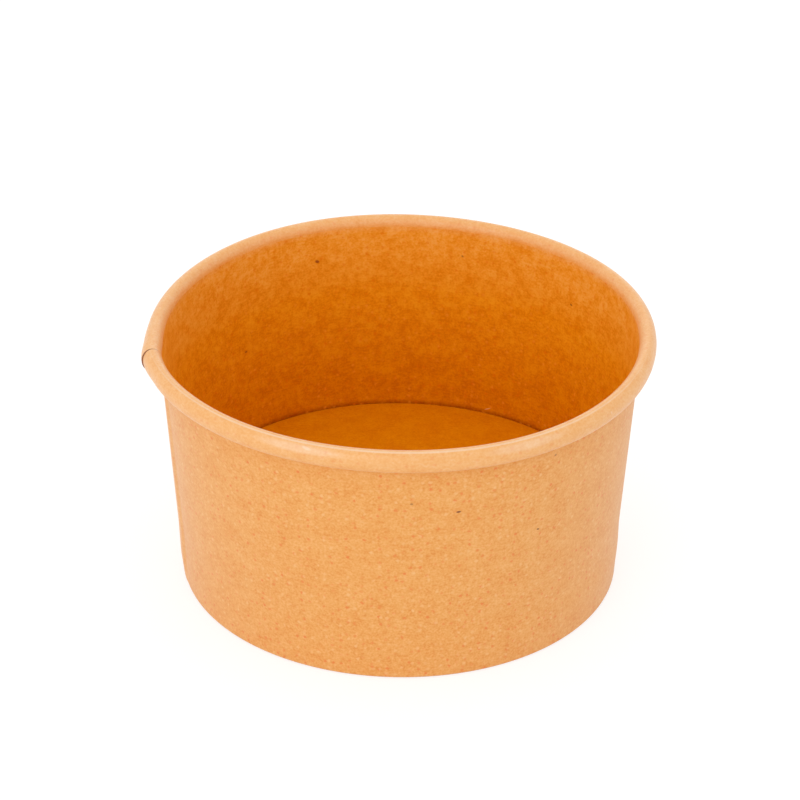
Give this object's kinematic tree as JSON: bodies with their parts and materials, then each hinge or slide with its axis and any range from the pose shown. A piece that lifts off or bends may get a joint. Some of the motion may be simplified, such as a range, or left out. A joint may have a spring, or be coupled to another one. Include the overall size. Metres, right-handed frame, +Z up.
{
  "type": "paper ice cream tub",
  "caption": "Short round kraft paper tub with leaning walls, a rolled rim, a lapped side seam and a base disc set up above the foot.",
  "frame": {"origin": "on the tub's axis, in the plane that its foot stands on", "axes": "+Z up along the tub's axis, the lapped seam on the -X side, -Y toward the camera of the reference picture"},
  "size_m": [0.0964, 0.096, 0.0515],
  "materials": {
    "kraft_wall": "unprinted brown kraft board, matt outside and sealed with a clear coating inside",
    "kraft_base": "unprinted brown kraft board with a clear coating on the face that meets the food"
  },
  "bodies": {
    "root": {"side_wall": "kraft_wall", "base_disc": "kraft_base"}
  },
  "joints": []
}
